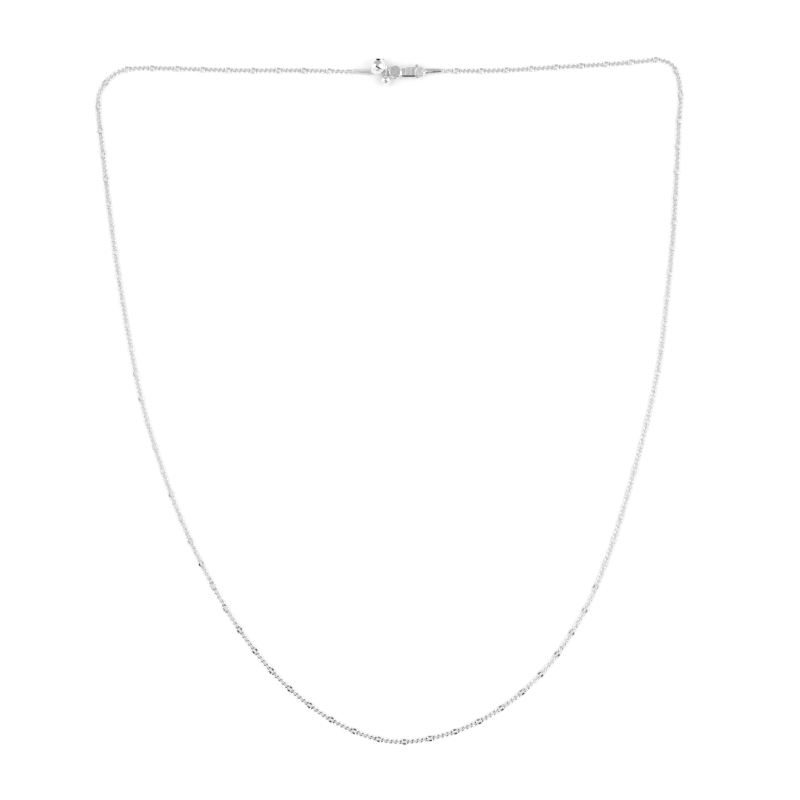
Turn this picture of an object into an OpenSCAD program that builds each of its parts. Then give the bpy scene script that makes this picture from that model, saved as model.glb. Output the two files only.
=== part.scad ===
/* [Chain] */
// Width of the flat curb chain
chain_w = 1.05; // [0.9:0.05:1.2]
// Thickness of the flat curb chain
chain_t = 0.52; // [0.44:0.02:0.54]
/* [Clasp body] */
// Diameter of the round head that holds the lever's pin
head_d = 3; // [2.9:0.02:3.04]
// Height of the round head
head_h = 1.9; // [1.8:0.05:2]
// Diameter of the big polished ball at the end of the hook
big_ball_d = 3.8; // [3.76:0.02:3.84]
// Diameter of the hook's wire
hook_d = 0.5; // [0.46:0.02:0.52]
// Width of the waist plate
plate_w = 2.6; // [2.4:0.1:2.8]
// Thickness of the waist plate
plate_t = 1; // [0.9:0.05:1.1]
// Length of the window in the waist plate
window_l = 1.25; // [1:0.05:1.4]
// Width of the window in the waist plate
window_w = 1.64; // [1.4:0.02:1.68]
// Outer diameter of the eye ring
eye_d = 2.55; // [2.5:0.05:2.6]
// Diameter of the hole in the eye ring
eye_hole_d = 1.56; // [1.5:0.02:1.6]
/* [Clasp lever] */
// Diameter of the small ball that opens the clasp
small_ball_d = 2.35; // [2.3:0.01:2.36]
// Diameter of the lever's pin
pin_d = 0.7; // [0.6:0.05:0.8]
/* [End tabs] */
// Length of each end tab without its loops
tab_l = 3.7; // [3.6:0.05:3.75]
// Width of an end tab at the clasp
tab_w = 1.42; // [1.3:0.02:1.5]
// Width of an end tab at the chain
tab_end_w = 1.06; // [0.9:0.02:1.1]
// Thickness of the end tabs
tab_t = 0.7; // [0.6:0.05:0.75]
/* [Hidden] */
$fn = 64;
eps = 0.01;

// Where the head's axis stands in the necklace's own frame
clasp_at = [1.5, 77.5];
// The clasp's own frame has its origin on the head's axis, at the surface it lies on
head_r = head_d / 2;
head_chamfer = 0.25;
mid_z = head_h / 2;

// Lever: its disc turns in a pocket of the head, and its arm points at the small ball
small_ball_at = [-2.25, -1.94, 1.2];
arm_angle = atan2(small_ball_at[1], small_ball_at[0]);
small_ball_reach = norm([small_ball_at[0], small_ball_at[1]]);
arm_w = 0.6;
// How far short of the small ball's centre the arm ends, inside the ball
arm_short = 0.9;
lever_collar_gap = 0.22;
lever_collar_d = 0.9;
lever_collar_t = 0.4;
lever_t = 0.66;
lever_disc_r = 0.95;
pin_clearance = 0.05;
pocket_clearance = 0.1;
pocket_r = lever_disc_r + pocket_clearance;
pocket_h = lever_t + 2 * pocket_clearance;
lever_travel = 35;
mouth_margin = 22;

// Hook: its wire runs along the right of the big ball, and the big ball closes its bend
big_ball_r = big_ball_d / 2;
big_ball_at = [-4.12, 1.2, big_ball_r];
hook_r = hook_d / 2;
hook_z = 1;
hook_bend_r = 1.88;
post_x = big_ball_at[0] + hook_bend_r;
post_gap = 0.1;
post_end_y = small_ball_at[1]
    + sqrt(pow(small_ball_d / 2 + hook_r + post_gap, 2) - pow(small_ball_at[2] - hook_z, 2));
bridge_y = 0.5;
collar_angle = 51.5;
collar_dip = 20;
collar_d = 1;
collar_reach = 0.4;
// Vent hole of the hollow big ball: direction round the ball, rise above its middle, size
vent_angle = 86;
vent_rise = 36;
vent_d = 1;
vent_depth = 0.5;

// Waist plate: at each x from head to eye, the shares of its half width in front and behind
plate_z = 0.45;
plate_y = 0.08;
PLATE_FLARE = [[1.2, 0.87, 0.6], [1.75, 1, 0.75], [3.1, 1, 0.94], [4.7, 1, 1]];
plate_foot = 0.15;
plate_back_bevel = 0.2;
plate_front_bevel_w = 0.44;
plate_front_bevel_t = 0.3;
window_at = [3.02, 0.08];

// Eye ring, and its solder collar with two small pointed ears
eye_x = 5.7;
eye_z = [0.6, 1.3];
eye_r = eye_d / 2;
eye_hole_r = eye_hole_d / 2;
eye_chamfer = 0.12;
EYE_COLLAR = [[4.5, 1.3], [5.1, 1.92], [5.75, 1.15], [5.75, -1.15], [5.3, -1.42], [4.5, -1.1]];

// End tabs: a loop on the clasp's side and a small loop that holds the first link
tab_z = 0.05;
tab_gap = 0.12;
slit_w = 0.14;
slit_d = 0.22;
left_slit = [-1, 2.3];
right_slit = [1.6, tab_l + 1];
// The left tab's upper face slopes down towards the front by this many degrees
left_slope = 14;
link_loop_r = 0.38;
link_loop_wire_r = 0.13;
link_loop_z = 0.52;
eye_loop_r = 0.7;
eye_loop_wire_r = 0.17;
eye_loop_y = 0.2;
hook_loop_r = 0.5;
hook_loop_wire_r = 0.14;
hook_loop_y = -0.2;
hook_loop_z = 0.95;
hook_loop_gap = 0.09;
hook_loop_x = post_x + hook_r + hook_loop_gap + hook_loop_wire_r - hook_loop_r;
neck_z = 0.3;
left_tab_x = -9.9;
left_tab_y = 0.08;
right_tab_x = eye_x + eye_r + tab_gap;
right_tab_y = 0.26;

// Route of the chain, from the left tab round the front to the right tab
ROUTE = [
    [-9.3, 77.7], [-22, 78], [-36, 78], [-50, 78.4], [-58, 78.5], [-63, 78], [-66.5, 75.6],
    [-68.5, 72], [-68.5, 67], [-67.5, 58], [-66, 45], [-64, 30.5], [-61.5, 15.5], [-58.4, 0],
    [-54.4, -13.5], [-49.5, -27], [-43.5, -40], [-35.5, -53.7], [-25.5, -66], [-13, -75.6],
    [0, -80.3],
    [12.5, -79], [24.5, -73.8], [36, -64.3], [45.6, -50.5], [51.9, -36], [56.5, -21.5],
    [60.5, -6.5], [63.7, 8.5], [65.5, 23], [67, 38.5], [68, 56], [68.4, 65.5], [68.8, 72.5],
    [67.5, 78.5], [64, 80.5], [60, 80.2], [53.5, 79.6], [40, 78.8], [26, 78], [13.2, 77.9]
];
front = 20;
chain_z = 0.28;
chain_sides = 8;
rings_per_span = 2;

// Point of the smooth curve through the route, at t from 0 to 1 between points i and i + 1
function route_point(i, t) =
    let (
        last = len(ROUTE) - 1,
        p0 = ROUTE[max(i - 1, 0)],
        p1 = ROUTE[i],
        p2 = ROUTE[min(i + 1, last)],
        p3 = ROUTE[min(i + 2, last)]
    )
    0.5 * (2 * p1 + (p2 - p0) * t + (2 * p0 - 5 * p1 + 4 * p2 - p3) * pow(t, 2)
        + (3 * p1 - p0 - 3 * p2 + p3) * pow(t, 3));

// Direction of the smooth curve there, as a unit vector
function heading(i, t) =
    let (
        last = len(ROUTE) - 1,
        p0 = ROUTE[max(i - 1, 0)],
        p1 = ROUTE[i],
        p2 = ROUTE[min(i + 1, last)],
        p3 = ROUTE[min(i + 2, last)],
        slope = p2 - p0 + 2 * (2 * p0 - 5 * p1 + 4 * p2 - p3) * t
            + 3 * (3 * p1 - p0 - 3 * p2 + p3) * pow(t, 2)
    )
    slope / norm(slope);

// One flat eight-sided ring of the tube, at centre c and square to direction d
function flat_ring(c, d) = [
    for (k = [0 : chain_sides - 1])
        let (
            a = 360 * (k + 0.5) / chain_sides,
            half_w = chain_w / 2 / cos(180 / chain_sides),
            half_t = chain_t / 2 / cos(180 / chain_sides)
        )
        [c[0] - d[1] * half_w * cos(a), c[1] + d[0] * half_w * cos(a), chain_z + half_t * sin(a)]
];

// Flat tube swept along the route from one of its points to another
module chain_tube(first, last) {
    n = chain_sides;
    spans = (last - first) * rings_per_span;
    rings = [
        for (s = [0 : spans])
            let (
                i = min(first + floor(s / rings_per_span), last - 1),
                t = s / rings_per_span - (i - first)
            )
            each flat_ring(route_point(i, t), heading(i, t))
    ];
    sides = [
        for (s = [0 : spans - 1], k = [0 : n - 1])
            [s * n + k, s * n + (k + 1) % n, (s + 1) * n + (k + 1) % n, (s + 1) * n + k]
    ];
    start_cap = [[for (k = [n - 1 : -1 : 0]) k]];
    end_cap = [[for (k = [0 : n - 1]) spans * n + k]];
    polyhedron(points = rings, faces = concat(sides, start_cap, end_cap), convexity = 10);
}

// Ring of round wire that stands upright, its axis along Y
module upright_loop(mean_r, wire_r) {
    rotate([90, 0, 0])
        rotate_extrude()
            translate([mean_r, 0])
                circle(wire_r);
}

// Straight round wire between two points that share a height
module level_wire(from, to, wire_r) {
    step = to - from;
    translate(from)
        rotate([0, 90, atan2(step[1], step[0])])
            cylinder(r = wire_r, h = norm(step));
}

// Round head with chamfered rims, the pocket of the lever and its mouth
module head() {
    difference() {
        rotate_extrude()
            polygon([
                [0, 0], [head_r - head_chamfer, 0], [head_r, head_chamfer],
                [head_r, head_h - head_chamfer], [head_r - head_chamfer, head_h], [0, head_h]
            ]);
        translate([0, 0, mid_z - pocket_h / 2])
            cylinder(r = pocket_r, h = pocket_h);
        translate([0, 0, mid_z - pocket_h / 2])
            linear_extrude(pocket_h)
                mouth_outline();
    }
    cylinder(d = pin_d, h = head_h - eps);
}

// Sector that the lever's arm sweeps, with room on both sides
module mouth_outline() {
    start = arm_angle - mouth_margin;
    end = arm_angle + lever_travel + mouth_margin;
    reach = 2 * head_r;
    polygon([
        [0, 0],
        for (k = [0 : 3])
            let (a = start + (end - start) * k / 3)
            [reach * cos(a), reach * sin(a)]
    ]);
}

// Cross-section of the waist plate at one entry of its flare
function plate_ring(entry) =
    let (
        x = entry[0],
        front_y = plate_y - entry[1] * plate_w / 2,
        back_y = plate_y + entry[2] * plate_w / 2,
        top = plate_z + plate_t
    )
    [
        [x, front_y + plate_foot, plate_z], [x, back_y - plate_foot, plate_z],
        [x, back_y, plate_z + plate_foot], [x, back_y, top - plate_back_bevel],
        [x, back_y - plate_back_bevel, top], [x, front_y + plate_front_bevel_w, top],
        [x, front_y, top - plate_front_bevel_t], [x, front_y, plate_z + plate_foot]
    ];

// Waist plate that flares from the head to the eye, bevelled along both edges
module flared_plate() {
    n = len(plate_ring(PLATE_FLARE[0]));
    spans = len(PLATE_FLARE) - 1;
    sides = [
        for (s = [0 : spans - 1], k = [0 : n - 1])
            [s * n + (k + 1) % n, s * n + k, (s + 1) * n + k, (s + 1) * n + (k + 1) % n]
    ];
    start_cap = [[for (k = [0 : n - 1]) k]];
    end_cap = [[for (k = [n - 1 : -1 : 0]) spans * n + k]];
    polyhedron(
        points = [for (entry = PLATE_FLARE) each plate_ring(entry)],
        faces = concat(sides, start_cap, end_cap),
        convexity = 4
    );
}

// Waist plate with its square window
module waist_plate() {
    difference() {
        flared_plate();
        translate([window_at[0] - window_l / 2, window_at[1] - window_w / 2, 0])
            cube([window_l, window_w, head_h]);
        cylinder(r = head_r - 0.1, h = head_h);
    }
}

// Solder collar with two small pointed ears, where the plate meets the eye ring
module eye_collar() {
    translate([0, 0, eye_z[0]])
        linear_extrude(eye_z[1] - eye_z[0])
            polygon(EYE_COLLAR);
}

// Flat eye ring with chamfered rims
module eye_ring() {
    translate([eye_x, 0, 0])
        rotate_extrude()
            polygon([
                [eye_hole_r, eye_z[0] + eye_chamfer], [eye_hole_r + eye_chamfer, eye_z[0]],
                [eye_r - eye_chamfer, eye_z[0]], [eye_r, eye_z[0] + eye_chamfer],
                [eye_r, eye_z[1] - eye_chamfer], [eye_r - eye_chamfer, eye_z[1]],
                [eye_hole_r + eye_chamfer, eye_z[1]], [eye_hole_r, eye_z[1] - eye_chamfer]
            ]);
}

// Hook: a post between the balls, a bridge to the head, a bend round the big ball
module hook() {
    post_end = [post_x, post_end_y, hook_z];
    translate(post_end)
        sphere(hook_r);
    level_wire(post_end, [post_x, big_ball_at[1], hook_z], hook_r);
    level_wire([post_x, bridge_y, hook_z], [-head_r + 0.2, bridge_y, hook_z], hook_r);
    translate([big_ball_at[0], big_ball_at[1], hook_z])
        rotate_extrude(angle = collar_angle)
            translate([hook_bend_r, 0])
                circle(hook_r);
}

// Big polished ball with its vent hole and the collar that the hook's wire enters
module big_ball() {
    translate(big_ball_at) {
        difference() {
            sphere(big_ball_r);
            rotate([0, 90 - vent_rise, vent_angle])
                translate([0, 0, big_ball_r - vent_depth])
                    cylinder(d = vent_d, h = big_ball_r);
        }
        rotate([0, 90 + collar_dip, collar_angle])
            cylinder(d = collar_d, h = big_ball_r + collar_reach);
    }
}

module clasp_body() {
    color("silver")
        translate([clasp_at[0], clasp_at[1], 0]) {
            difference() {
                union() {
                    waist_plate();
                    eye_collar();
                }
                translate([eye_x, 0, 0])
                    cylinder(r = eye_hole_r + eye_chamfer, h = head_h);
            }
            head();
            eye_ring();
            hook();
            big_ball();
        }
}

module clasp_lever() {
    color("gainsboro")
        translate([clasp_at[0], clasp_at[1], 0]) {
            difference() {
                union() {
                    translate([0, 0, mid_z - lever_t / 2])
                        cylinder(r = lever_disc_r, h = lever_t);
                    rotate([0, 0, arm_angle])
                        translate([0, -arm_w / 2, mid_z - lever_t / 2])
                            cube([small_ball_reach - arm_short, arm_w, lever_t]);
                }
                cylinder(r = pin_d / 2 + pin_clearance, h = head_h);
            }
            rotate([0, 0, arm_angle])
                translate([head_r + lever_collar_gap, 0, mid_z])
                    rotate([0, 90, 0])
                        cylinder(d = lever_collar_d, h = lever_collar_t);
            translate(small_ball_at)
                sphere(d = small_ball_d);
        }
}

// Tapered tab along X from the origin, wide end first, with a slit in its upper face.
// The upper face slopes down towards the front.
module tab(slit, slope) {
    end_y = (tab_w - tab_end_w) / 2;
    slit_top = tab_t - tab_w / 2 * tan(slope);
    translate([0, 0, tab_z])
        difference() {
            linear_extrude(tab_t)
                polygon([
                    [0, -tab_w / 2], [0, tab_w / 2], [tab_l, tab_w / 2],
                    [tab_l, tab_w / 2 - tab_end_w]
                ]);
            translate([slit[0], -slit_w / 2, slit_top - slit_d])
                cube([slit[1] - slit[0], slit_w, tab_t]);
            if (slope > 0)
                translate([0, tab_w / 2, tab_t])
                    rotate([slope, 0, 0])
                        translate([-1, -2 * tab_w, 0])
                            cube([tab_l + 2, 2 * tab_w, tab_t]);
        }
    translate([tab_l + link_loop_r - 0.1, end_y, link_loop_z])
        upright_loop(link_loop_r, link_loop_wire_r);
}

module right_end_tab() {
    color("silver")
        translate([clasp_at[0], clasp_at[1], 0]) {
            translate([right_tab_x, right_tab_y, 0])
                tab(right_slit, 0);
            translate([eye_x + (eye_r + eye_hole_r) / 2, eye_loop_y, mid_z])
                upright_loop(eye_loop_r, eye_loop_wire_r);
        }
}

module left_end_tab() {
    color("silver")
        translate([clasp_at[0], clasp_at[1], 0]) {
            translate([left_tab_x + tab_l, left_tab_y, 0])
                mirror([1, 0, 0])
                    tab(left_slit, left_slope);
            level_wire(
                [left_tab_x + tab_l - 0.2, hook_loop_y, neck_z],
                [hook_loop_x, hook_loop_y, neck_z],
                hook_loop_wire_r
            );
            translate([hook_loop_x, hook_loop_y, hook_loop_z])
                upright_loop(hook_loop_r, hook_loop_wire_r);
        }
}

module chain_left() {
    color("lightgray")
        chain_tube(0, front);
}

module chain_right() {
    color("lightgray")
        chain_tube(front, len(ROUTE) - 1);
}

chain_left();
chain_right();
left_end_tab();
right_end_tab();
clasp_body();
clasp_lever();
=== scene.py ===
import math
from bisect import bisect
from collections import namedtuple
from random import Random

import bmesh
import bpy
from mathutils import Matrix, Vector


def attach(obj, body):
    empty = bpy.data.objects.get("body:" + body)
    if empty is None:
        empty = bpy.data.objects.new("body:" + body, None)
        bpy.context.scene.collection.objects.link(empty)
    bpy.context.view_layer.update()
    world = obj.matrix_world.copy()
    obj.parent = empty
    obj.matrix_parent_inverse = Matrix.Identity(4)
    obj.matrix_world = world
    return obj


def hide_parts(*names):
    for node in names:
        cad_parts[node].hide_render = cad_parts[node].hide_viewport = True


MM = 0.001

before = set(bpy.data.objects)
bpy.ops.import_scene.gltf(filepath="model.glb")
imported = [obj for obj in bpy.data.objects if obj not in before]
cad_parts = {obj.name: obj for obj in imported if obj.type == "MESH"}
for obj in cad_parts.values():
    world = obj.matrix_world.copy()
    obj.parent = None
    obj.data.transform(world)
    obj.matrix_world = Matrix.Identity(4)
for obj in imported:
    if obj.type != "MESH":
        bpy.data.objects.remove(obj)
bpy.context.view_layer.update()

# Camera: straight above the necklace
FRAME_WIDTH = 188.8 * MM
LENS = 100
SENSOR = 36
VIEW_CENTRE = (2.596 * MM, 0.236 * MM, 0.3 * MM)

# Route of the chain in metres, from the left end tab round the front to the right one
ROUTE = [
    (-0.0093, 0.0777), (-0.022, 0.078), (-0.036, 0.078), (-0.05, 0.0784), (-0.058, 0.0785),
    (-0.063, 0.078), (-0.0665, 0.0756), (-0.0685, 0.072), (-0.0685, 0.067), (-0.0675, 0.058),
    (-0.066, 0.045), (-0.064, 0.0305), (-0.0615, 0.0155), (-0.0584, 0), (-0.0544, -0.0135),
    (-0.0495, -0.027), (-0.0435, -0.04), (-0.0355, -0.0537), (-0.0255, -0.066),
    (-0.013, -0.0756), (0, -0.0803), (0.0125, -0.079), (0.0245, -0.0738), (0.036, -0.0643),
    (0.0456, -0.0505), (0.0519, -0.036), (0.0565, -0.0215), (0.0605, -0.0065),
    (0.0637, 0.0085), (0.0655, 0.023), (0.067, 0.0385), (0.068, 0.056), (0.0684, 0.0655),
    (0.0688, 0.0725), (0.0675, 0.0785), (0.064, 0.0805), (0.06, 0.0802), (0.0535, 0.0796),
    (0.04, 0.0788), (0.026, 0.078), (0.0132, 0.0779),
]
ROUTE_STEPS = 60

# Where along the route, in millimetres, every tenth station link lies
STATION_MARKS = [4.88, 64.6, 122.5, 182, 242.9, 304.2, 362.6, 422.6, 481.6]
STATIONS_A_MARK = 10
SMALL_LINKS_A_STATION = 4
SMALL_PITCH = 1.09
STATION_PITCH = 1.34
SMALL_LINKS_BEFORE_FIRST = 4
SMALL_LINKS_AFTER_LAST = 2
END_STRETCH = 1.045
HALF_LENGTH_OF_CHAIN = 242

# Links, in millimetres; the twists at their ends are in degrees
Link = namedtuple("Link", "half_length half_width wire_r belly twist_power steps sides")
SMALL = Link(
    half_length=0.715, half_width=0.39, wire_r=0.135, belly=0, twist_power=1, steps=30, sides=12
)
STATION = Link(
    half_length=0.985, half_width=0.45, wire_r=0.155, belly=0.4, twist_power=2.4,
    steps=48, sides=16,
)
OVAL_POWER = 2.6
TWIST = -45
LINK_Z = 0.28
LOOSE_ROLL = 1.5
STATION_ROLL = 1.4
ROLL_SEED = 11
END_LINK_PITCH = 7
END_LINK_LIFT = 0.1

# How far to each side of its middle a station link's wire is broader, in millimetres
BELLY_REACH = 0.59

# Diamond cuts, in millimetres: both faces of all links are cut level at CUT_HEIGHT. The long sides
# of a station link are cut deeper, and these cuts lean outwards by the tilt, in degrees.
CUT_HEIGHT = 0.21
SIDE_CUT_HEIGHT = 0.07
SIDE_CUT_REACH = 0.42
SIDE_CUT_TILT = 2.4

# Clasp, in millimetres, in its own frame: the head's axis on the surface, +X towards the eye.
# Profiles are (radius, height) points, and spans of X, Y and Z are (low, high).
CLASP_AT = (1.5, 77.5)
HEAD_R = 1.5
HEAD_H = 1.9
HEAD_PROFILE = [
    (0, 0), (1.25, 0), (HEAD_R, 0.25), (HEAD_R, 1.68), (1.42, 1.84), (1.28, HEAD_H), (0, HEAD_H),
]
MID_Z = 0.95
POCKET_R = 1.05
POCKET_H = 0.86
PIN_R = 0.35
PIN_Z = (0.1, 1.8)
BIG_BALL_AT = (-4.12, 1.2, 1.9)
BIG_BALL_R = 1.9
VENT_ANGLE = 86
VENT_RISE = 36
VENT_R = 0.5
VENT_DEPTH = 0.5
SMALL_BALL_AT = (-2.25, -1.94, 1.2)
SMALL_BALL_R = 1.175
ARM_ANGLE = math.degrees(math.atan2(SMALL_BALL_AT[1], SMALL_BALL_AT[0]))
ARM_X = (0.5, 2.1)
ARM_Y = (-0.3, 0.3)
LEVER_HALF_T = 0.33
DISC_R = (0.4, 0.95)
LEVER_COLLAR_PROFILE = [(0, -0.1), (0.36, -0.1), (0.45, 0.05), (0.45, 0.3), (0.62, 0.5), (0, 0.6)]
LEVER_COLLAR_GAP = 0.22
LEVER_TRAVEL = 35
MOUTH_MARGIN = 22
HOOK_R = 0.25
HOOK_Z = 1
HOOK_BEND_R = 1.88
POST_X = BIG_BALL_AT[0] + HOOK_BEND_R
POST_END_Y = -0.43
# The post's rounded tip: (distance past the post's end, radius) as shares of the wire's radius
TIP_SHARES = [(1, 0.05), (0.92, 0.39), (0.7, 0.71), (0.38, 0.92), (0, 1)]
BEND_STEPS = 10
BRIDGE_Y = 0.5
# The bridge from the post to the head: (x, radius)
BRIDGE_RADII = [(POST_X, 0.26), (-2, 0.26), (-1.75, 0.25), (-1.55, 0.29), (-1.42, 0.4)]
COLLAR_PROFILE = [(0, 1.6), (0.85, 1.6), (0.52, 1.95), (0.5, 2.3), (0, 2.32)]
COLLAR_ANGLE = 51.5
COLLAR_DIP = 20
PLATE_Y = 0.08
PLATE_HALF_W = 1.3
PLATE_LOW = 0.45
PLATE_HIGH = 1.45
# Sections of the plate: (x, share of the half width in front, share at the back)
PLATE_FLARE = [(1.2, 0.87, 0.6), (1.75, 1, 0.75), (3.1, 1, 0.94), (4.7, 1, 1)]
PLATE_FOOT = 0.15
PLATE_BACK_BEVEL = 0.2
PLATE_FRONT_BEVEL_W = 0.44
PLATE_FRONT_BEVEL_T = 0.3
WINDOW_X = (2.395, 3.645)
WINDOW_Y = (-0.74, 0.9)
EYE_X = 5.7
EYE_Z = (0.6, 1.3)
EYE_R = 1.275
EYE_HOLE_R = 0.78
EYE_CURVE_POWER = 0.8
EYE_PROFILE_SIDES = 28
EAR_OUTLINE = [(4.5, 1.3), (5.1, 1.92), (5.75, 1.15), (5.75, -1.15), (5.3, -1.42), (4.5, -1.1)]
EAR_HOLE_R = 0.9

# End tabs and their loops, in the clasp's frame
HOOK_LOOP_R = 0.5
HOOK_LOOP_WIRE_R = 0.14
HOOK_LOOP_Y = -0.2
HOOK_LOOP_GAP = 0.09
HOOK_LOOP_X = POST_X + HOOK_R + HOOK_LOOP_GAP + HOOK_LOOP_WIRE_R - HOOK_LOOP_R
NECK_Z = 0.3
NECK_BEND_X = -4.3
NECK_OVERLAP = 0.2
EYE_LOOP_R = 0.7
EYE_LOOP_WIRE_R = 0.17
EYE_LOOP_Y = 0.2
LINK_LOOP_R = 0.38
LINK_LOOP_WIRE_R = 0.13
LINK_LOOP_Z = 0.52
LINK_LOOP_OVERLAP = 0.1
TAB_L = 3.7
TAB_W = 1.42
TAB_END_W = 1.06
TAB_Z = 0.05
TAB_T = 0.7
TAB_RIM_DROP = 0.09
TAB_CROWN = 0.02
TAB_SECTION_SHARES = (0, 0.02, 0.5, 0.98, 1)
LEFT_TAB_X = -6.2
LEFT_TAB_Y = 0.08
LEFT_SLIT = (-1, 2.3)
LEFT_SLOPE = 14
RIGHT_TAB_X = 7.095
RIGHT_TAB_Y = 0.26
RIGHT_SLIT = (1.6, 4.7)
SLIT_Y = (-0.07, 0.07)
SLIT_DEPTH = 0.22

# Points of a shape that are nearer than this are one point, in millimetres
WELD = 0.0005
# Largest share of an edge that the rounding of a corner takes
ROUNDED_SHARE = 0.45
# Edges sharper than these are softened, or shaded as edges, in degrees
SOFT_ANGLE = 35
SHARP_ANGLE = 32

# Grain of the silver: noise waves a metre, and the scratches' depth in metres
POLISH_WAVES = 900
TONE_WAVES = 2200
SCRATCH_WAVES = (1500, 16000, 16000)
SCRATCH_DEPTH = 0.000004

# Studio, in metres: a white floor, and cards that only the silver mirrors
FLOOR_REACH = 6
CARD_BRIGHTNESS = {
    "camera_body": 0.01, "stand": 0.015, "gap_overhead": 0.52, "gap_behind": 0.52,
    "front_shade": 0.02, "back_wall": 0.5,
}
CARD_Z = {"camera_body": 3, "stand": 3.01, "gap_overhead": 3.02, "gap_behind": 3.03}
CAMERA_BODY_AT = (-1.5, -0.3)
CAMERA_BODY_R = 0.75
STAND = [
    (-1.5, -0.6), (-1.4, -0.05), (-0.27, -0.42), (-0.2, -0.12), (0, -0.12), (0.1, -0.36),
    (0.2, -0.5), (0.44, -0.33), (0.62, -0.6), (3.9, -2.57), (3.3, -4),
]
ROOM_X = (-3.2, 2.8)
ROOM_BACK_Y = 3.4
GAP_OVERHEAD = [(-1.5, 0.45), (0.6, 0.2), (0.6, ROOM_BACK_Y), (-1.5, ROOM_BACK_Y)]
GAP_BEHIND_Y = 2.2
WALL_FOOT_Z = 0.3
SHADE_X = (-1, 0.8)
SHADE_Y = -2.4
SHADE_Z = (1.05, 1.75)
TENT_STRENGTH = 0.9
SOFTBOX_X = 2.8
SOFTBOX_Z = 2.2
SOFTBOX_SIZE = (2, 3.2)
SOFTBOX_POWER = 26


def add(name, data):
    """New object in the scene."""
    thing = bpy.data.objects.new(name, data)
    bpy.context.scene.collection.objects.link(thing)
    return thing


def make_camera():
    data = bpy.data.cameras.new("camera")
    data.lens = LENS
    data.sensor_width = SENSOR
    data.clip_start = 0.01
    camera = add("camera", data)
    x, y, z = VIEW_CENTRE
    camera.location = (x, y, z + FRAME_WIDTH * LENS / SENSOR)
    bpy.context.scene.camera = camera


# Route of the chain


def smooth_route():
    """The smooth curve through the route: its distances in millimetres, and its points."""
    last = len(ROUTE) - 1
    points = []
    for i in range(last):
        p0 = Vector(ROUTE[max(i - 1, 0)])
        p1 = Vector(ROUTE[i])
        p2 = Vector(ROUTE[i + 1])
        p3 = Vector(ROUTE[min(i + 2, last)])
        for step in range(ROUTE_STEPS):
            t = step / ROUTE_STEPS
            points.append(0.5 * (
                2 * p1 + (p2 - p0) * t + (2 * p0 - 5 * p1 + 4 * p2 - p3) * t ** 2
                + (3 * p1 - p0 - 3 * p2 + p3) * t ** 3
            ))
    points.append(Vector(ROUTE[last]))
    distances = [0]
    for a, b in zip(points, points[1:]):
        distances.append(distances[-1] + (b - a).length / MM)
    return distances, points


def route_at(route, distance):
    """Point of the route at a distance in millimetres, run on straight past its ends."""
    distances, points = route
    i = min(max(bisect(distances, distance), 1), len(points) - 1)
    share = (distance - distances[i - 1]) / (distances[i] - distances[i - 1])
    return points[i - 1].lerp(points[i], share)


def station_distance(number):
    """Distance of a station link along the route, counted from 0; it may be fractional."""
    last = len(STATION_MARKS) - 2
    span = min(max(math.floor(number / STATIONS_A_MARK), 0), last)
    share = number / STATIONS_A_MARK - span
    distance = STATION_MARKS[span] * (1 - share) + STATION_MARKS[span + 1] * share
    nearest_mark = min(max(distance, STATION_MARKS[0]), STATION_MARKS[-1])
    return nearest_mark + (distance - nearest_mark) * END_STRETCH


def link_distances():
    """(distance, link) of every link in order."""
    period = (SMALL_LINKS_A_STATION - 1) * SMALL_PITCH + 2 * STATION_PITCH
    shares = [0] + [
        (STATION_PITCH + k * SMALL_PITCH) / period for k in range(SMALL_LINKS_A_STATION)
    ]
    stations = STATIONS_A_MARK * (len(STATION_MARKS) - 1)
    placed = []
    for number in range(-1, stations + 1):
        for k, share in enumerate(shares):
            placed.append((station_distance(number + share), SMALL if k else STATION))
    unused_before = 1 + SMALL_LINKS_A_STATION - SMALL_LINKS_BEFORE_FIRST
    unused_after = SMALL_LINKS_A_STATION - SMALL_LINKS_AFTER_LAST
    return placed[unused_before:len(placed) - unused_after]


# Links


def signed_power(value, power):
    return math.copysign(abs(value) ** power, value)


def link_rings(link, start_twist, end_twist):
    """Rings of wire along a twisted oval link, in millimetres, about the link's centre."""
    line = []
    for step in range(link.steps):
        t = 2 * math.pi * (step + 0.5) / link.steps
        x = signed_power(math.cos(t), 2 / OVAL_POWER)
        across = link.half_width * signed_power(math.sin(t), 2 / OVAL_POWER)
        twist = end_twist if x > 0 else start_twist
        turn = math.radians(twist) * abs(x) ** link.twist_power
        centre = Vector((
            link.half_length * x, across * math.cos(turn), across * math.sin(turn)
        ))
        line.append((centre, Vector((0, -math.sin(turn), math.cos(turn)))))
    rings = []
    for step, (centre, normal) in enumerate(line):
        along = (line[(step + 1) % link.steps][0] - line[step - 1][0]).normalized()
        up = (normal - along * normal.dot(along)).normalized()
        side = along.cross(up)
        broad = 1 + link.belly * max(1 - (centre.x / BELLY_REACH) ** 2, 0)
        rings.append([
            centre + link.wire_r * (up * math.cos(a) + side * broad * math.sin(a))
            for a in (2 * math.pi * (k + 0.5) / link.sides for k in range(link.sides))
        ])
    return rings


def loft(rings, closed=False):
    """bmesh of the surface that joins the rings in order; open ends are capped."""
    bm = bmesh.new()
    rows = [[bm.verts.new(point) for point in ring] for ring in rings]
    count = len(rows[0])
    pairs = list(zip(rows, rows[1:]))
    if closed:
        pairs.append((rows[-1], rows[0]))
    for a, b in pairs:
        for k in range(count):
            bm.faces.new((a[k], a[(k + 1) % count], b[(k + 1) % count], b[k]))
    if not closed:
        bm.faces.new(reversed(rows[0]))
        bm.faces.new(rows[-1])
    bmesh.ops.remove_doubles(bm, verts=bm.verts, dist=WELD)
    bmesh.ops.recalc_face_normals(bm, faces=bm.faces)
    for face in bm.faces:
        face.smooth = True
    return bm


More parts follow.
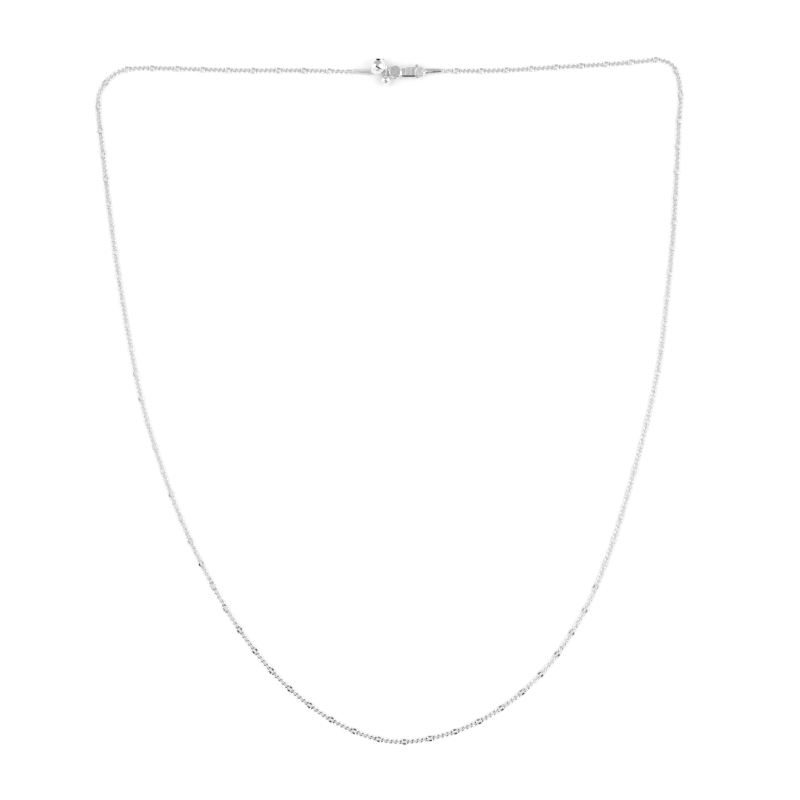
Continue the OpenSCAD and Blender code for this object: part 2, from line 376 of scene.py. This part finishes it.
def cut_level(point, link):
    """The point, moved back onto the level cut of the link's faces if it lies past it."""
    limit = CUT_HEIGHT
    if link is STATION:
        fall = math.tan(math.radians(SIDE_CUT_TILT)) * (abs(point.y) - link.half_width)
        rise = max(abs(point.x) - SIDE_CUT_REACH, 0)
        limit = min(SIDE_CUT_HEIGHT - fall + rise, CUT_HEIGHT)
    if abs(point.z) > limit:
        return Vector((point.x, point.y, math.copysign(limit, point.z)))
    return point


def plain_link(link, start_twist, end_twist):
    """A link's points, faces and which of the faces are smooth."""
    rings = link_rings(link, start_twist, end_twist)
    points = []
    was_cut = []
    for ring_points in rings:
        for point in ring_points:
            points.append(cut_level(point, link))
            was_cut.append(points[-1] is not point)
    faces = []
    for step in range(link.steps):
        row = step * link.sides
        next_row = (step + 1) % link.steps * link.sides
        for k in range(link.sides):
            after = (k + 1) % link.sides
            faces.append((row + k, row + after, next_row + after, next_row + k))
    smooth = [not all(was_cut[index] for index in face) for face in faces]
    return points, faces, smooth


def link_placement(route, distance, link, roll, pitch, z):
    """Matrix that lays a link on the route, in metres."""
    reach = link.half_length - link.wire_r
    start = route_at(route, distance - reach)
    end = route_at(route, distance + reach)
    middle = (start + end) / 2
    heading = math.atan2(end.y - start.y, end.x - start.x)
    return (
        Matrix.Translation((middle.x, middle.y, z * MM))
        @ Matrix.Rotation(heading, 4, "Z")
        @ Matrix.Rotation(math.radians(-pitch), 4, "Y")
        @ Matrix.Rotation(math.radians(roll), 4, "X")
        @ Matrix.Scale(MM, 4)
    )


def chain_piece(node, points, faces, smooth):
    """Half of the chain: a joined mesh of links that stands for its CAD node."""
    mesh = bpy.data.meshes.new(node + "_links")
    mesh.from_pydata(points, [], faces)
    mesh.polygons.foreach_set("use_smooth", smooth)
    mesh.materials.append(materials["chain"])
    piece = add(node + "_links", mesh)
    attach(piece, "necklace")
    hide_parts(node)


def make_chain():
    """The two halves of the chain, of interlocking links that each lie a little differently."""
    route = smooth_route()
    links = link_distances()
    forms = {
        (SMALL, "middle"): plain_link(SMALL, -TWIST, TWIST),
        (SMALL, "first"): plain_link(SMALL, 0, TWIST),
        (SMALL, "last"): plain_link(SMALL, -TWIST, 0),
        (STATION, "middle"): plain_link(STATION, -TWIST, TWIST),
    }
    chance = Random(ROLL_SEED)
    halves = {"chain_left": ([], [], []), "chain_right": ([], [], [])}
    for number, (distance, link) in enumerate(links):
        place = {0: "first", len(links) - 1: "last"}.get(number, "middle")
        most = STATION_ROLL if link is STATION else LOOSE_ROLL
        roll = chance.uniform(-most, most) if place == "middle" else 0
        pitch = {"first": -END_LINK_PITCH, "last": END_LINK_PITCH}.get(place, 0)
        z = LINK_Z if place == "middle" else LINK_Z + END_LINK_LIFT
        matrix = link_placement(route, distance, link, roll, pitch, z)
        form_points, form_faces, form_smooth = forms[link, place]
        half = "chain_left" if distance < HALF_LENGTH_OF_CHAIN else "chain_right"
        points, faces, smooth = halves[half]
        base = len(points)
        points.extend(matrix @ point for point in form_points)
        faces.extend([base + index for index in face] for face in form_faces)
        smooth.extend(form_smooth)
    for node, (points, faces, smooth) in halves.items():
        chain_piece(node, points, faces, smooth)


# Shapes of the clasp and the tabs, in millimetres


def rounded(outline, cut, steps=4, closed=True):
    """Outline with its corners rounded off over the length cut on both sides."""
    count = len(outline)
    points = []
    for i, corner in enumerate(outline):
        if not closed and i in (0, count - 1):
            points.append(corner)
            continue
        here = Vector(corner)
        before = Vector(outline[i - 1]) - here
        after = Vector(outline[(i + 1) % count]) - here
        room = min(cut, before.length * ROUNDED_SHARE, after.length * ROUNDED_SHARE)
        start = here + before.normalized() * room
        end = here + after.normalized() * room
        for step in range(steps + 1):
            t = step / steps
            point = start * (1 - t) ** 2 + here * 2 * t * (1 - t) + end * t ** 2
            points.append(tuple(point))
    return points


def rectangle(x_span, y_span):
    (left, right), (low, high) = x_span, y_span
    return [(left, low), (right, low), (right, high), (left, high)]


def circle(x, y, r, sides):
    return [
        (x + r * math.cos(2 * math.pi * k / sides), y + r * math.sin(2 * math.pi * k / sides))
        for k in range(sides)
    ]


def solid(bm):
    """Object that holds a bmesh, in millimetres."""
    mesh = bpy.data.meshes.new("shape")
    bm.to_mesh(mesh)
    bm.free()
    return add("shape", mesh)


def lathe(profile, sides=96):
    """Solid turned about Z from (radius, height) points that start and end on the axis."""
    angles = [2 * math.pi * k / sides for k in range(sides)]
    rings = [[(r * math.cos(a), r * math.sin(a), z) for a in angles] for r, z in profile]
    return solid(loft(rings))


def ring(profile, sides):
    """Ring turned about Z from a closed outline of (radius, height) points."""
    angles = [2 * math.pi * k / sides for k in range(sides)]
    rings = [[(r * math.cos(a), r * math.sin(a), z) for r, z in profile] for a in angles]
    return solid(loft(rings, closed=True))


def ball(centre, radius, sides=96):
    steps = sides // 2
    profile = [
        (radius * math.sin(math.pi * k / steps), -radius * math.cos(math.pi * k / steps))
        for k in range(steps + 1)
    ]
    return moved(lathe(profile, sides), Matrix.Translation(centre))


def prism(outline, low, high):
    return solid(loft([[(x, y, z) for x, y in outline] for z in (low, high)]))


def wire(path, radii, sides=24):
    """Round wire along level points, with a radius at each point."""
    up = Vector((0, 0, 1))
    points = [Vector(point) for point in path]
    last = len(points) - 1
    rings = []
    for i, (point, radius) in enumerate(zip(points, radii)):
        along = (points[min(i + 1, last)] - points[max(i - 1, 0)]).normalized()
        side = along.cross(up).normalized()
        rings.append([
            point + radius * (side * math.cos(a) + up * math.sin(a))
            for a in (2 * math.pi * k / sides for k in range(sides))
        ])
    return solid(loft(rings))


def moved(thing, matrix):
    thing.data.transform(matrix)
    return thing


def apply_modifiers(thing):
    """Replaces an object's mesh by what its modifiers make of it."""
    shaped = thing.evaluated_get(bpy.context.evaluated_depsgraph_get())
    mesh = bpy.data.meshes.new_from_object(shaped)
    thing.modifiers.clear()
    thing.data = mesh


def carve(thing, cutter, material_mode="INDEX"):
    """Takes the cutter's shape out of a solid."""
    cut = thing.modifiers.new("cut", "BOOLEAN")
    cut.operation = "DIFFERENCE"
    cut.solver = "EXACT"
    cut.material_mode = material_mode
    cut.object = cutter
    apply_modifiers(thing)
    bpy.data.objects.remove(cutter)
    return thing


def carve_with_painted_shade(thing, cutter, material, dark):
    """Carves a solid of the given material and leaves the carved faces in the dark one, as painted
    shade in the hollow.
    """
    thing.data.materials.append(material)
    cutter.data.materials.append(dark)
    carve(thing, cutter, "TRANSFER")


def soften(thing, width):
    """Rounds the sharp edges of a solid."""
    bevel = thing.modifiers.new("soft edges", "BEVEL")
    bevel.width = width
    bevel.segments = 3
    bevel.limit_method = "ANGLE"
    bevel.angle_limit = math.radians(SOFT_ANGLE)
    apply_modifiers(thing)
    return thing


def join(name, parts, body, node, material):
    """Joins soldered parts into the piece that stands for a CAD node."""
    for part in parts:
        if not part.data.materials:
            part.data.materials.append(material)
    piece = parts[0]
    with bpy.context.temp_override(active_object=piece, selected_editable_objects=parts):
        bpy.ops.object.join()
    piece.name = name
    x, y = CLASP_AT
    piece.data.transform(Matrix.Scale(MM, 4) @ Matrix.Translation((x, y, 0)))
    piece.data.shade_smooth()
    piece.data.set_sharp_from_angle(angle=math.radians(SHARP_ANGLE))
    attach(piece, body)
    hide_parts(node)


# Clasp


def sector(start, end, reach, steps=8):
    """Outline of a slice about the origin, from one angle to another in degrees."""
    outline = [(0, 0)]
    for step in range(steps + 1):
        a = math.radians(start + (end - start) * step / steps)
        outline.append((reach * math.cos(a), reach * math.sin(a)))
    return outline


def clasp_head():
    """Round head with soft rims, and the pocket and mouth that the lever turns in."""
    profile = rounded(HEAD_PROFILE, cut=0.12, closed=False)
    pocket_z = (MID_Z - POCKET_H / 2, MID_Z + POCKET_H / 2)
    head = carve(lathe(profile), lathe(rectangle((0, POCKET_R), pocket_z)))
    mouth = sector(ARM_ANGLE - MOUTH_MARGIN, ARM_ANGLE + LEVER_TRAVEL + MOUTH_MARGIN, 2 * HEAD_R)
    carve(head, prism(mouth, *pocket_z))
    soften(head, width=0.03)
    return head, lathe(rectangle((0, PIN_R), PIN_Z), sides=32)


def plate_section(x, front_share, back_share):
    """Outline of the waist plate across its length at x."""
    front = PLATE_Y - front_share * PLATE_HALF_W
    back = PLATE_Y + back_share * PLATE_HALF_W
    outline = rounded(
        [
            (front + PLATE_FOOT, PLATE_LOW), (back - PLATE_FOOT, PLATE_LOW),
            (back, PLATE_LOW + PLATE_FOOT), (back, PLATE_HIGH - PLATE_BACK_BEVEL),
            (back - PLATE_BACK_BEVEL, PLATE_HIGH), (front + PLATE_FRONT_BEVEL_W, PLATE_HIGH),
            (front, PLATE_HIGH - PLATE_FRONT_BEVEL_T), (front, PLATE_LOW + PLATE_FOOT),
        ],
        cut=0.04, steps=3,
    )
    return [(x, y, z) for y, z in outline]


def waist_plate():
    """Flared plate between head and eye, bevelled along its long edges, with a square window."""
    plate = solid(loft([plate_section(*entry) for entry in PLATE_FLARE]))
    window = prism(rectangle(WINDOW_X, WINDOW_Y), 0, HEAD_H)
    return soften(carve(plate, window), width=0.015)


def eye_collar():
    """Solder collar with two small pointed ears between the plate and the eye."""
    collar = prism(EAR_OUTLINE, *EYE_Z)
    hole = lathe(rectangle((0, EAR_HOLE_R), (0, 2)))
    carve(collar, moved(hole, Matrix.Translation((EYE_X, 0, 0))))
    return soften(collar, width=0.06)


def eye_ring():
    """Eye ring, rounded all over."""
    half_width = (EYE_R - EYE_HOLE_R) / 2
    half_height = (EYE_Z[1] - EYE_Z[0]) / 2
    profile = [
        (
            EYE_HOLE_R + half_width + half_width * signed_power(math.cos(a), EYE_CURVE_POWER),
            EYE_Z[0] + half_height + half_height * signed_power(math.sin(a), EYE_CURVE_POWER),
        )
        for a in (2 * math.pi * k / EYE_PROFILE_SIDES for k in range(EYE_PROFILE_SIDES))
    ]
    return moved(ring(profile, sides=96), Matrix.Translation((EYE_X, 0, 0)))


def hook():
    """Post between the balls, its bend along the big ball, and the bridge to the head."""
    path = [(POST_X, POST_END_Y - HOOK_R * reach, HOOK_Z) for reach, _ in TIP_SHARES]
    radii = [HOOK_R * share for _, share in TIP_SHARES]
    for share in (0.25, 0.5, 0.75):
        y = POST_END_Y + (BIG_BALL_AT[1] - POST_END_Y) * share
        path.append((POST_X, y, HOOK_Z))
        radii.append(HOOK_R)
    for step in range(BEND_STEPS + 1):
        a = math.radians(COLLAR_ANGLE * step / BEND_STEPS)
        path.append((
            BIG_BALL_AT[0] + HOOK_BEND_R * math.cos(a),
            BIG_BALL_AT[1] + HOOK_BEND_R * math.sin(a),
            HOOK_Z,
        ))
        radii.append(HOOK_R)
    bridge_path = [(x, BRIDGE_Y, HOOK_Z) for x, _ in BRIDGE_RADII]
    return wire(path, radii), wire(bridge_path, [radius for _, radius in BRIDGE_RADII])


def big_ball():
    """Big polished ball with its vent hole, and the collar that the hook's wire enters."""
    middle = Matrix.Translation(BIG_BALL_AT)
    vent = lathe(rectangle((0, VENT_R), (0, BIG_BALL_R)), sides=32)
    moved(vent, (
        middle
        @ Matrix.Rotation(math.radians(VENT_ANGLE), 4, "Z")
        @ Matrix.Rotation(math.radians(90 - VENT_RISE), 4, "Y")
        @ Matrix.Translation((0, 0, BIG_BALL_R - VENT_DEPTH))
    ))
    sphere = ball(BIG_BALL_AT, BIG_BALL_R, sides=128)
    # The vent hole's carved faces are painted near black: painted shade inside the hole
    carve_with_painted_shade(sphere, vent, materials["clasp"], materials["hollow_painted_shade"])
    profile = rounded(COLLAR_PROFILE, cut=0.1, closed=False)
    collar = moved(lathe(profile, sides=48), (
        middle
        @ Matrix.Rotation(math.radians(COLLAR_ANGLE), 4, "Z")
        @ Matrix.Rotation(math.radians(90 + COLLAR_DIP), 4, "Y")
    ))
    return sphere, collar


def make_clasp_body():
    parts = [*clasp_head(), waist_plate(), eye_collar(), eye_ring(), *hook(), *big_ball()]
    join("clasp_polished", parts, "necklace", "clasp_body", materials["clasp"])


def make_lever():
    """Lever: disc in the head's pocket, arm, solder collar and the small ball."""
    lever_z = (MID_Z - LEVER_HALF_T, MID_Z + LEVER_HALF_T)
    disc = ring(rounded(rectangle(DISC_R, lever_z), cut=0.05), sides=72)
    arm = soften(prism(rectangle(ARM_X, ARM_Y), *lever_z), width=0.05)
    profile = rounded(LEVER_COLLAR_PROFILE, cut=0.08, closed=False)
    collar = moved(lathe(profile, sides=48), (
        Matrix.Translation((HEAD_R + LEVER_COLLAR_GAP, 0, MID_Z))
        @ Matrix.Rotation(math.radians(90), 4, "Y")
    ))
    turn = Matrix.Rotation(math.radians(ARM_ANGLE), 4, "Z")
    parts = [disc, moved(arm, turn), moved(collar, turn), ball(SMALL_BALL_AT, SMALL_BALL_R)]
    join("lever_polished", parts, "lever", "clasp_lever", materials["clasp"])


# End tabs


def upright_loop(x, y, z, mean_r, wire_r):
    """Ring of round wire that stands upright, its axis along Y."""
    loop = ring(circle(mean_r, 0, wire_r, sides=20), sides=64)
    turn = Matrix.Rotation(math.radians(90), 4, "X")
    return moved(loop, Matrix.Translation((x, y, z)) @ turn)


def tab_section(x, front, back, slope):
    """Outline across a tab at x: a softly crowned top that slopes down to the front."""
    high = TAB_Z + TAB_T
    drop = (back - front) * math.tan(math.radians(slope))
    middle = (front + back) / 2
    outline = rounded(
        [
            (front, TAB_Z), (back, TAB_Z), (back, high - TAB_RIM_DROP),
            (middle, high + TAB_CROWN - drop / 2), (front, high - TAB_RIM_DROP - drop),
        ],
        cut=0.3, steps=8,
    )
    return [(x, y, z) for y, z in outline]


def tab(x, y, direction, slit, slope, material, slit_shade_material):
    """Tapered tab with a slit, its wide end at x, and the loop that holds the first link."""
    back = TAB_W / 2
    sections = []
    for share in TAB_SECTION_SHARES:
        front = -TAB_W / 2 + (TAB_W - TAB_END_W) * share
        sections.append(tab_section(TAB_L * share, front, back, slope))
    plate = soften(solid(loft(sections)), width=0.07)
    floor = TAB_Z + TAB_T - TAB_W / 2 * math.tan(math.radians(slope)) - SLIT_DEPTH
    cutter = prism(rectangle(slit, SLIT_Y), floor, 1)
    # The slit's carved faces get a darker material: painted shade in the groove
    carve_with_painted_shade(plate, cutter, material, slit_shade_material)
    moved(plate, Matrix.Translation((x, y, 0)) @ Matrix.Scale(direction, 4, (1, 0, 0)))
    if direction < 0:
        plate.data.flip_normals()
    loop_x = x + direction * (TAB_L + LINK_LOOP_R - LINK_LOOP_OVERLAP)
    loop_y = y + (TAB_W - TAB_END_W) / 2
    return plate, upright_loop(loop_x, loop_y, LINK_LOOP_Z, LINK_LOOP_R, LINK_LOOP_WIRE_R)


def make_left_tab():
    """Left tab with its neck wire and the loop that hangs on the hook's post."""
    neck_xs = (LEFT_TAB_X - NECK_OVERLAP, NECK_BEND_X, HOOK_LOOP_X)
    neck_path = [(x, HOOK_LOOP_Y, NECK_Z) for x in neck_xs]
    parts = [
        *tab(
            LEFT_TAB_X, LEFT_TAB_Y, -1, LEFT_SLIT, LEFT_SLOPE,
            materials["frosted"], materials["left_slit_painted_shade"],
        ),
        wire(neck_path, [HOOK_LOOP_WIRE_R] * len(neck_path)),
        upright_loop(HOOK_LOOP_X, HOOK_LOOP_Y, MID_Z, HOOK_LOOP_R, HOOK_LOOP_WIRE_R),
    ]
    join("left_tab_satin", parts, "necklace", "left_end_tab", materials["tab"])


def make_right_tab():
    """Right tab with the loop through the clasp's eye."""
    loop_x = EYE_X + (EYE_R + EYE_HOLE_R) / 2
    parts = [
        *tab(
            RIGHT_TAB_X, RIGHT_TAB_Y, 1, RIGHT_SLIT, 0, materials["tab"], materials["hollow_painted_shade"]
        ),
        upright_loop(loop_x, EYE_LOOP_Y, MID_Z, EYE_LOOP_R, EYE_LOOP_WIRE_R),
    ]
    join("right_tab_satin", parts, "necklace", "right_end_tab", materials["tab"])


# Materials


def noise(tree, place, waves, detail):
    """Grey values of a cloudy noise at the given place."""
    texture = tree.nodes.new("ShaderNodeTexNoise")
    texture.inputs["Scale"].default_value = waves
    texture.inputs["Detail"].default_value = detail
    tree.links.new(place, texture.inputs["Vector"])
    return texture.outputs["Fac"]


def remap(tree, value, span, result=(0, 1)):
    """The value, stretched from its own span to the result's."""
    node = tree.nodes.new("ShaderNodeMapRange")
    for end, inside, outside in (("Min", span[0], result[0]), ("Max", span[1], result[1])):
        node.inputs["From " + end].default_value = inside
        node.inputs["To " + end].default_value = outside
    tree.links.new(value, node.inputs["Value"])
    return node.outputs["Result"]


def uneven_colour(tree, place, colour, dullest):
    """The colour, blotched with a duller tone of itself."""
    tone = tree.nodes.new("ShaderNodeMix")
    tone.data_type = "RGBA"
    tone.inputs["A"].default_value = (*colour, 1)
    tone.inputs["B"].default_value = (*(dullest * c for c in colour), 1)
    blotches = remap(tree, noise(tree, place, TONE_WAVES, detail=2), (0.35, 0.65))
    tree.links.new(blotches, tone.inputs["Factor"])
    return tone.outputs["Result"]


def scratches(tree, place, grain):
    """Bump of fine scratches that run along X."""
    stretch = tree.nodes.new("ShaderNodeMapping")
    stretch.inputs["Scale"].default_value = SCRATCH_WAVES
    tree.links.new(place, stretch.inputs["Vector"])
    bump = tree.nodes.new("ShaderNodeBump")
    bump.inputs["Strength"].default_value = grain
    bump.inputs["Distance"].default_value = SCRATCH_DEPTH
    lines = noise(tree, stretch.outputs["Vector"], waves=1, detail=3)
    tree.links.new(lines, bump.inputs["Height"])
    return bump.outputs["Normal"]


def silver(name, colour, roughness, grain, dullest=0.94):
    """Silver with uneven tone and polish, and fine scratches."""
    material = bpy.data.materials.new(name)
    material.use_nodes = True
    tree = material.node_tree
    shader = tree.nodes["Principled BSDF"]
    shader.inputs["Metallic"].default_value = 1
    place = tree.nodes.new("ShaderNodeTexCoord").outputs["Object"]
    polish = remap(tree, noise(tree, place, POLISH_WAVES, detail=4), (0.3, 0.7), roughness)
    tree.links.new(polish, shader.inputs["Roughness"])
    tree.links.new(uneven_colour(tree, place, colour, dullest), shader.inputs["Base Color"])
    tree.links.new(scratches(tree, place, grain), shader.inputs["Normal"])
    return material


def plain(name, colour, roughness):
    material = bpy.data.materials.new(name)
    material.use_nodes = True
    shader = material.node_tree.nodes["Principled BSDF"]
    shader.inputs["Base Color"].default_value = (*colour, 1)
    shader.inputs["Roughness"].default_value = roughness
    return material


materials = {
    "chain": silver("chain_silver", (0.98, 0.98, 0.982), roughness=(0.06, 0.14), grain=0.25),
    "clasp": silver(
        "clasp_silver", (0.97, 0.97, 0.972), roughness=(0.03, 0.08), grain=0.12, dullest=0.84
    ),
    "tab": silver("tab_silver", (0.9, 0.9, 0.905), roughness=(0.22, 0.34), grain=0.5),
    "frosted": silver("frosted_silver", (0.96, 0.96, 0.965), roughness=(0.5, 0.62), grain=0.5),
    # Not silver colours: a grey and a black painted shade for the carved slits and the vent hole,
    # standing in for the shade that falls into them
    "left_slit_painted_shade": silver("grey_painted_shade", (0.65, 0.65, 0.655), roughness=(0.4, 0.55), grain=0.5),
    "hollow_painted_shade": silver("black_painted_shade", (0.03, 0.03, 0.032), roughness=(0.45, 0.65), grain=0.5),
}


# Floor and light


def make_floor():
    mesh = bpy.data.meshes.new("floor")
    side = (-FLOOR_REACH, FLOOR_REACH)
    mesh.from_pydata([(x, y, 0) for x, y in rectangle(side, side)], [], [(0, 1, 2, 3)])
    mesh.materials.append(plain("floor_white", (0.96, 0.96, 0.96), 0.9))
    add("floor", mesh)


def glowing(name, brightness):
    """Material of an even grey glow that lights nothing else."""
    material = bpy.data.materials.new(name)
    material.use_nodes = True
    nodes = material.node_tree.nodes
    nodes.clear()
    glow = nodes.new("ShaderNodeEmission")
    glow.inputs["Color"].default_value = (brightness, brightness, brightness, 1)
    out = nodes.new("ShaderNodeOutputMaterial")
    material.node_tree.links.new(glow.outputs["Emission"], out.inputs["Surface"])
    material.cycles.emission_sampling = "NONE"
    return material


def card(name, corners):
    """A studio card that shows only in reflections."""
    mesh = bpy.data.meshes.new(name)
    mesh.from_pydata(corners, [], [tuple(range(len(corners)))])
    mesh.materials.append(glowing(name, CARD_BRIGHTNESS[name]))
    thing = add(name, mesh)
    thing.visible_camera = False
    thing.visible_diffuse = False
    thing.visible_shadow = False
    thing.visible_transmission = False


def level_card(name, outline):
    card(name, [(x, y, CARD_Z[name]) for x, y in outline])


def upright_card(name, x_span, y, z_span):
    card(name, [(x, y, z) for x, z in rectangle(x_span, z_span)])


def make_cards():
    """The camera and its stand, and the grey room above and behind, that the silver mirrors."""
    level_card("camera_body", circle(*CAMERA_BODY_AT, CAMERA_BODY_R, sides=30))
    level_card("stand", STAND)
    level_card("gap_overhead", GAP_OVERHEAD)
    level_card("gap_behind", rectangle(ROOM_X, (GAP_BEHIND_Y, ROOM_BACK_Y)))
    upright_card("front_shade", SHADE_X, SHADE_Y, SHADE_Z)
    upright_card("back_wall", ROOM_X, ROOM_BACK_Y, (WALL_FOOT_Z, CARD_Z["gap_behind"]))


def make_light():
    """A white tent all round, and a softbox at the left and at the right."""
    scene = bpy.context.scene
    world = bpy.data.worlds.new("tent")
    world.use_nodes = True
    tent = world.node_tree.nodes["Background"]
    tent.inputs["Color"].default_value = (1, 1, 1, 1)
    tent.inputs["Strength"].default_value = TENT_STRENGTH
    scene.world = world
    for name, x in (("softbox_left", -SOFTBOX_X), ("softbox_right", SOFTBOX_X)):
        data = bpy.data.lights.new(name, "AREA")
        data.shape = "RECTANGLE"
        data.size, data.size_y = SOFTBOX_SIZE
        data.energy = SOFTBOX_POWER
        box = add(name, data)
        box.location = (x, 0, SOFTBOX_Z)
        box.rotation_euler = box.location.to_track_quat("Z", "Y").to_euler()
    scene.view_settings.view_transform = "Standard"


make_camera()
make_chain()
make_clasp_body()
make_lever()
make_left_tab()
make_right_tab()
make_floor()
make_cards()
make_light()
